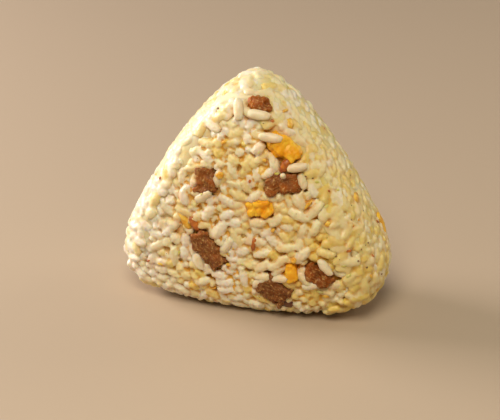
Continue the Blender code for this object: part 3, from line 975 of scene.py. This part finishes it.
def modelBit(seed):
    bpy.ops.mesh.primitive_cube_add(size=1.0)
    bit = bpy.context.active_object
    bpy.ops.object.mode_set(mode="EDIT")
    bpy.ops.mesh.select_all(action="SELECT")
    bpy.ops.mesh.subdivide(number_cuts=2, smoothness=0.4)
    bpy.ops.transform.tosphere(value=0.45)
    bpy.ops.transform.vertex_random(offset=0.11, uniform=1.0, normal=0.0, seed=seed)
    bpy.ops.object.mode_set(mode="OBJECT")
    points = readPoints(bit)
    faces = [tuple(face.vertices) for face in bit.data.polygons]
    bpy.data.objects.remove(bit)
    return points / np.abs(points).max(axis=0) / 2, faces


def anyFrame(sunk):
    # a random place on the skin, above the base
    while True:
        side = ("front", "back", "left", "right")[int(chance.choice(4, p=(0.30, 0.34, 0.18, 0.18)))]
        across = chance.uniform(-34, 34) if side in ("front", "back") else chance.uniform(-13, 13)
        up = chance.uniform(3, 66)
        if outsideForm(startOn(side, across, up))[0] < -0.004:
            return frameOn(side, across, up, chance.uniform(0, 180), sunk)


def placeBits(kind):
    # the frame of each bit on the form's skin, and its thickness, width and length in mm
    places = [(frameOn(side, across, up, turn, 0.0), (thickness, width, length))
              for side, across, up, turn, length, width, thickness in kind["placed"]]
    for _ in range(kind["count"]):
        length = chance.uniform(*kind["length"])
        width = length * chance.uniform(*kind["flatness"])
        places.append((anyFrame(0.0), (width * 0.8, width, length)))
    return places


def seatBit(place, size, lift, trees):
    # moves the frame in or out, so that the bit rests on the grains under it
    inward = place.to_3x3() @ Vector((1, 0, 0))
    heights = []
    for across, along in ((0, 0), (0.3, 0), (-0.3, 0), (0, 0.3), (0, -0.3)):
        start = place @ Vector((-seatReach, across * size[1] * mm, along * size[2] * mm))
        reached = [tree.ray_cast(start, inward, seatReach * 2)[3] for tree in trees]
        heights += [seatReach - distance for distance in reached if distance is not None]
    height = max(heights, default=0.0)
    return place @ Matrix.Translation((size[0] * mm * (0.5 - lift) - height, 0, 0))


def makeBits(name, kind, places, trees):
    models = [modelBit(seed) for seed in range(1, 6)]
    parts = []
    for number, (place, size) in enumerate(places):
        points, faces = models[number % len(models)]
        matrix = np.array(seatBit(place, size, kind["lift"], trees))
        parts.append(((points * np.array(size) * mm) @ matrix[:3, :3].T + matrix[:3, 3], faces))
    obj = joinParts(name, parts)
    keepAbove(obj, 0.0001)
    finishPiece(obj, makeCrumbMaterial(name, *kind["looks"]), ["rice"])


bitPlaces = {name: placeBits(kind) for name, kind in bitKinds.items()}
print("small bits placed")


# the rice's meshes

staining = {
    "egg": (0.0018, 0.55),  # how far the colour creeps past a piece, and how strong it is
    "pork": (0.0014, 0.45),
    "eggCrumbs": (0.0012, 0.60),
    "sauceSlivers": (0.0013, 0.60),
    "porkCrumbs": (0.0010, 0.40),
}
stainSpots = (  # small spots where sauce has soaked in: side, across, up, reach in mm, strength
    ("front", -17.6, 36.4, 1.0, 0.9), ("front", -20.6, 38.8, 0.9, 0.8), ("front", -27.2, 11.6, 1.1, 0.8),
    ("front", 17.6, 29.0, 1.1, 0.8), ("front", 18.4, 22.4, 0.9, 0.8), ("front", -2.6, 52.4, 1.0, 0.9),
    ("front", -12.4, 53.2, 1.3, 0.6), ("front", -17.0, 45.4, 1.0, 0.7), ("front", 24.2, 28.0, 1.0, 0.7),
    ("front", -24.0, 27.0, 1.0, 0.8), ("front", 15.0, 55.0, 0.9, 0.8), ("front", 0.6, 57.0, 0.9, 0.6),
    ("left", -6.0, 30.0, 1.2, 0.6), ("right", -6.0, 48.0, 1.2, 0.6), ("right", 2.0, 20.0, 1.4, 0.6),
)
looseStains = 220  # more of them, at random places
soaked = [(np.array(frameOn(side, across, up, 0, 0.3).translation), reach * mm, strength)
          for side, across, up, reach, strength in stainSpots]
soaked += [(np.array(anyFrame(0.3).translation), chance.uniform(0.5, 1.2) * mm, chance.uniform(0.3, 0.8))
           for _ in range(looseStains)]


def stainAt(points):
    # how strongly colour has soaked in, from the pieces, the soaked spots and the larger bits
    stain = np.zeros(len(points))
    for node, place in pieceFrames.items():
        reach, strength = staining[node.split("_")[0]]
        local = np.abs((points - place["middle"]) @ place["turn"]) - place["half"]
        away = np.linalg.norm(np.maximum(local, 0), axis=1)
        stain = np.maximum(stain, strength * np.exp(-(away / reach) ** 2))
    for spot, reach, strength in soaked:
        away = np.linalg.norm(points - spot, axis=1)
        stain = np.maximum(stain, strength * np.exp(-(away / reach) ** 2))
    for name in ("eggCrumbs", "sauceSlivers", "porkCrumbs"):
        reach, strength = staining[name]
        for place, size in bitPlaces[name]:
            away = np.linalg.norm(points - np.array(place.translation), axis=1)
            away = np.maximum(away - max(size) * mm * 0.35, 0)
            stain = np.maximum(stain, strength * np.exp(-(away / reach) ** 2))
    return stain


def hollowsOf(obj, rounds):
    # how deep each spot lies in a hollow, in metres: how far it moves outwards when the mesh is evened out
    points, normals = readPoints(obj), vertexNormals(obj)
    edges = np.empty(len(obj.data.edges) * 2, dtype=np.int64)
    obj.data.edges.foreach_get("vertices", edges)
    first, second = edges[0::2], edges[1::2]
    number = len(points)
    share = np.maximum(np.bincount(first, minlength=number) + np.bincount(second, minlength=number), 1)
    even = points.copy()
    for _ in range(rounds):
        total = [np.bincount(first, even[second, axis], number)
                 + np.bincount(second, even[first, axis], number) for axis in range(3)]
        even = np.stack(total, axis=1) / share[:, None]
    return ((even - points) * normals).sum(axis=1)


sauceAndShadeLooks = {
    "evening": 8,  # rounds that even the mesh out, to find its creases
    "creases": (0.00001, 0.00012),  # the hollows, in m, where a crease begins and is full
    "patchSize": 0.0050,
    "patchMiddle": 0.70,
    "patchSpread": 0.9,
    "leastPatch": 0.15,
    "cleanLeft": 0.60,  # how much less of the gaps' sauce and painted shade there is on the left
    "cleanFrom": (0.010, 0.028),  # how far left that begins and is full
    "stainAll": 0.45,  # how much of a stain shows everywhere
    "stainCreases": 0.55,  # and how much more in the creases
}


def paintRice(obj, gapFrom, gapFull, gapMost):
    # sauce in the gaps and creases, with painted shade there too, and the stains
    looks, points = sauceAndShadeLooks, readPoints(obj)
    depth = smoothStep(-outsideForm(points), gapFrom, gapFull)
    crease = smoothStep(hollowsOf(obj, looks["evening"]), *looks["creases"])
    patch = looks["patchMiddle"] + looks["patchSpread"] * noiseAt(points, looks["patchSize"], 7.0)
    patch = np.clip(patch, looks["leastPatch"], 1)
    clean = 1 - looks["cleanLeft"] * smoothStep(-points[:, 0], *looks["cleanFrom"])
    # painted shade with the sauce: the gaps' colour grows with depth under the form and in the creases
    paintValues(obj, "gapSauceAndShade", np.clip((depth + crease * patch) * clean, 0, 1) * gapMost)
    strength = looks["stainAll"] + looks["stainCreases"] * np.maximum(crease, depth)
    paintValues(obj, "stain", stainAt(points) * strength)


tintAndLightDrift = {  # partly the rice's own tint and partly painted light and shade, whiter on the lit left and yellower on the shaded right: how much, and where across the rice ball it begins and is full
    "yellower": (0.40, 0.0, 0.034),  # to the right
    "whiter": (0.38, 0.012, 0.034),  # to the left
}
tintPatches = (0.30, 0.0075)  # how much, and how wide


def tintFrom(points, grains):
    # each spot takes the tint of the grain that it lies on, with the drift, partly painted light and shade,
    # and the patches added
    tree = kdtree.KDTree(len(grains) * 3)
    for number, grain in enumerate(grains):
        for share in (-0.27, 0.0, 0.27):
            along = grainTurn[grain][:, 2] * share * grainSize["length"] * grainReach[grain, 0]
            tree.insert(grainMiddle[grain] + along, number)
    tree.balance()
    nearest = np.array([tree.find(point)[1] for point in points])
    right, left = tintAndLightDrift["yellower"], tintAndLightDrift["whiter"]
    drift = right[0] * smoothStep(points[:, 0], *right[1:]) - left[0] * smoothStep(-points[:, 0], *left[1:])
    drift += tintPatches[0] * noiseAt(points, tintPatches[1], 4.0)
    return np.clip(grainTint[grains[nearest]] + drift, 0, 1)


bodyShape = {
    "sunkPressed": 0.00030,
    "sunkLow": 0.00025,  # more than that in the low corners
    "sunkRough": 0.0020,
    "early": 0.12,  # how much earlier than the grains it sinks towards the rims
    "smoothStrip": 0.85,
    "lumpRelief": 0.0006,
    "lumpSize": 0.003,
    "voxel": 0.00080,
    "softening": 3,
}


def makeRiceBody():
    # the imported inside, which shows only in the gaps between the grains
    shape = bodyShape
    bpy.ops.mesh.primitive_ico_sphere_add(subdivisions=6, radius=1.0)
    body = bpy.context.active_object
    body.name = "riceBody"
    directions = readPoints(body)
    starts = np.tile([0.0, 0.0, pressedForm["middleHeight"]], (len(directions), 1))
    skin = skinAlong(starts, directions, 0.0)
    normals = outwardOf(skin)
    rough = roughShare(normals, shape["early"]) * (1 - shape["smoothStrip"] * leftSkin(skin))
    sunk = shape["sunkPressed"] + (shape["sunkRough"] - shape["sunkPressed"]) * rough
    sunk = sunk + noiseAt(skin, shape["lumpSize"]) * shape["lumpRelief"] * (0.3 + rough)
    sunk = sunk + shape["sunkLow"] * (1 - smoothStep(skin[:, 2], *lowPart))
    points = skinAlong(starts, directions, swellOf(skin, normals) * 0.5 - sunk)
    points[:, 2] = np.maximum(points[:, 2], 0.0)
    writePoints(body, points)
    softRemesh(body, shape["voxel"], shape["softening"])
    bpy.ops.object.shade_smooth()
    points = keepAbove(body)
    # yellower to the right: partly the rice's tint, partly painted shade on the right and painted light on
    # the left
    tint = 0.30 + 0.45 * noiseAt(points, 0.0042, 3.0) + 0.55 * smoothStep(points[:, 0], -0.020, 0.030)
    paintValues(body, "grainTint", np.clip(tint, 0, 1))
    # painted shade with the sauce: the sunk inside takes the gaps' colour, more the deeper it lies
    paintRice(body, 0.0005, 0.0024, 0.85)
    finishPiece(body, riceSkin, ["rice"])
    return body


grainMeshes = {
    # voxel in m, softening, relief, the depths where the gaps' colour of sauce and painted shade begins and
    # is full, how strong it is,
    # and the depth below which the faces are hidden
    "frontRice": (0.00034, 3, 0.00020, 0.0012, 0.0028, 1.00, 0.0023),
    "backRice": (0.00035, 3, 0.00020, 0.0012, 0.0028, 1.00, 0.0023),
    "sideRice": (0.00038, 4, 0.00013, 0.0003, 0.0011, 0.60, 0.0011),
}
hiddenShare = 0.10  # the share of those faces that is kept


def makeGrainMesh(name, wanted, material):
    # the grains of one face, stuck together where they touch
    voxel, softening, grainRelief, gapFrom, gapFull, gapMost, hiddenDepth = grainMeshes[name]
    kept = np.nonzero(wanted)[0]
    kept = kept[-outsideForm(grainMiddle[kept]) < packing["slabDepth"] + 0.0005]
    packed = (grainMiddle, grainTurn, grainScale, grainKind, grainTint)
    rice = buildGrains(name, *(values[kept] for values in packed))
    points = readPoints(rice)
    tints = rice.data.attributes["grainTint"].data
    lift = np.array([tint.value for tint in tints]) * packing["pressedLift"]
    writePoints(rice, pressToForm(points, roughShare(outwardOf(points)), lift))
    softRemesh(rice, voxel, softening)
    roughen(rice, 0.0009, grainRelief)
    hidden = np.nonzero(-outsideForm(readPoints(rice)) > hiddenDepth)[0]
    group = rice.vertex_groups.new(name="hidden")
    group.add(hidden.tolist(), 1.0, "REPLACE")
    thin = rice.modifiers.new("Thin inside", "DECIMATE")
    thin.vertex_group = "hidden"
    thin.ratio = 1 - len(hidden) / len(rice.data.vertices) * (1 - hiddenShare)
    applyAll(rice)
    bpy.ops.object.shade_smooth()
    paintValues(rice, "grainTint", tintFrom(keepAbove(rice), kept))
    paintRice(rice, gapFrom, gapFull, gapMost)
    finishPiece(rice, material, ["rice"])
    return rice


topGrains = (  # single whole grains that lie on the others, or on the pork and egg:
    # side, across, up, turn, sunk in mm, tilt, number of the kind, length and width in mm
    ("front", 9, 57.4, 7, -0.3, 3, 0, 7.2, 3.1),
    ("front", 16.6, 49.3, 28, -0.4, 5, 0, 6.2, 3.0),
    ("front", 25.6, 19.8, -36, 0.4, 4, 0, 6.3, 3.0),
    ("front", 5.2, 63.2, 0, -0.1, 4, 1, 6.9, 3.1),
    ("front", 13.1, 46.6, 92, 0.2, 62, 4, 4.3, 2.0),
    ("front", -10.4, 37.6, 40, 0.5, 6, 4, 6.5, 3.0),
    ("front", -6.2, 43.6, 100, 0.9, 6, 5, 6.5, 2.8),
    ("front", -3.6, 22.8, 60, 0.8, 8, 4, 6.8, 3.0),
    ("front", -12.2, 16.6, -40, 0.7, 6, 5, 6.5, 3.0),
    ("front", 12.2, 14.4, 10, 0.7, 8, 4, 5.8, 2.8),
    ("front", 6, 12.4, 70, 0.8, 6, 5, 6.1, 2.8),
    ("front", 21.6, 13.4, 20, 0.8, 6, 4, 6.5, 3.0),
    ("front", -1, 64.4, 112, 0.6, 4, 0, 6.8, 3.3),
    ("back", -4, 30, 30, 0.5, 5, 0, 7.2, 3.3),
    ("back", 16, 44, -40, 0.5, 5, 3, 7.2, 3.3),
    ("back", 5.6, 47.6, 70, 0.5, 5, 1, 6.8, 3.1),
    ("back", -18, 24, -30, 0.4, 5, 0, 6.5, 3.0),
)


def makeTopGrains():
    frames = [np.array(frameOn(*grain[:6])) for grain in topGrains]
    middle = np.array([place[:3, 3] for place in frames])
    turn = np.array([place[:3, :3] for place in frames])
    kinds = [grain[6] for grain in topGrains]
    whole = np.array([grainSize["length"], grainSize["width"]])
    scale = np.array([grain[7:9] for grain in topGrains]) * mm / whole / kindShapes[kinds]
    grains = buildGrains("topGrains", middle, turn, scale, kinds, np.full(len(frames), 0.2))
    soften = grains.modifiers.new("Rounder", "SUBSURF")
    soften.levels = soften.render_levels = 1
    applyAll(grains)
    roughen(grains, 0.0014, 0.00022)
    paintRice(grains, 0.0014, 0.0042, 0.4)
    finishPiece(grains, riceGrain, ["rice"])
    return grains


riceParts = [
    makeRiceBody(),
    makeGrainMesh("frontRice", isLoose & (grainMiddle[:, 1] < 0), riceGrain),
    makeGrainMesh("backRice", isLoose & (grainMiddle[:, 1] >= 0), riceGrain),
    makeGrainMesh("sideRice", ~isLoose, riceSkin),
    makeTopGrains(),
]
print("rice meshed")

riceTrees = [BVHTree.FromObject(part, bpy.context.evaluated_depsgraph_get()) for part in riceParts]
for name, kind in bitKinds.items():
    makeBits(name, kind, bitPlaces[name], riceTrees)
print("small bits seated on the rice")


# floor, light and camera

stageLooks = {
    "floor": (0.48, 0.37, 0.26, 1.0),
    "world": (1.0, 0.94, 0.86, 1.0),
    "worldStrength": 0.16,
}
lamps = {  # place in m, size in m, watts, colour
    "windowLight": ((-0.61, 0.04, 0.26), 0.34, 4.95, (1.0, 0.935, 0.94)),
    "topLight": ((0.04, -0.38, 0.54), 0.34, 3.0, (1.0, 0.94, 0.81)),
    "rimLight": ((0.45, 0.38, 0.24), 0.40, 1.0, (1.0, 0.93, 0.80)),
}
view = {
    "turn": math.radians(17.07),  # round the rice ball, from straight in front towards its right
    "rise": math.radians(25.8),
    "distance": 0.600,
    "pixelsPerMm": 3.4,
    "imageWidth": 500,
    "middleX": 256.69,  # where the form's middle stands in the 500 by 420 frame
    "middleY": 240.45,
    "frameX": 250,
    "frameY": 210,
}


def makeStage():
    bpy.ops.mesh.primitive_plane_add(size=6.0)
    floor = bpy.context.active_object
    floor.name = "floor"
    pale, _, _ = newMaterial("paleFloor", {"Base Color": stageLooks["floor"], "Roughness": 0.6})
    floor.data.materials.append(pale)
    world = bpy.data.worlds.new("room")
    world.use_nodes = True
    background = world.node_tree.nodes["Background"]
    background.inputs["Color"].default_value = stageLooks["world"]
    background.inputs["Strength"].default_value = stageLooks["worldStrength"]
    bpy.context.scene.world = world
    bpy.context.scene.view_settings.view_transform = "Standard"


def makeLamps():
    middle = Vector((0, 0, pressedForm["middleHeight"]))
    for name, (spot, size, watts, colour) in lamps.items():
        bpy.ops.object.light_add(type="AREA", location=spot)
        lamp = bpy.context.active_object
        lamp.name = name
        lamp.data.shape = "DISK"
        lamp.data.size = size
        lamp.data.energy = watts
        lamp.data.color = colour
        lamp.rotation_euler = (middle - Vector(spot)).to_track_quat("-Z", "Y").to_euler()


def makeCamera():
    turn, rise = view["turn"], view["rise"]
    back = Vector((math.sin(turn) * math.cos(rise), -math.cos(turn) * math.cos(rise), math.sin(rise)))
    bpy.ops.object.camera_add(location=Vector((0, 0, pressedForm["middleHeight"])) + back * view["distance"])
    camera = bpy.context.active_object
    camera.rotation_euler = (-back).to_track_quat("-Z", "Y").to_euler()
    focalPixels = view["pixelsPerMm"] * view["distance"] / mm
    camera.data.sensor_width = 36.0
    camera.data.lens = focalPixels / view["imageWidth"] * 36.0
    camera.data.shift_x = (view["frameX"] - view["middleX"]) / view["imageWidth"]
    camera.data.shift_y = (view["middleY"] - view["frameY"]) / view["imageWidth"]
    bpy.context.scene.camera = camera


makeStage()
makeLamps()
makeCamera()
print("stage, lamps and camera set")
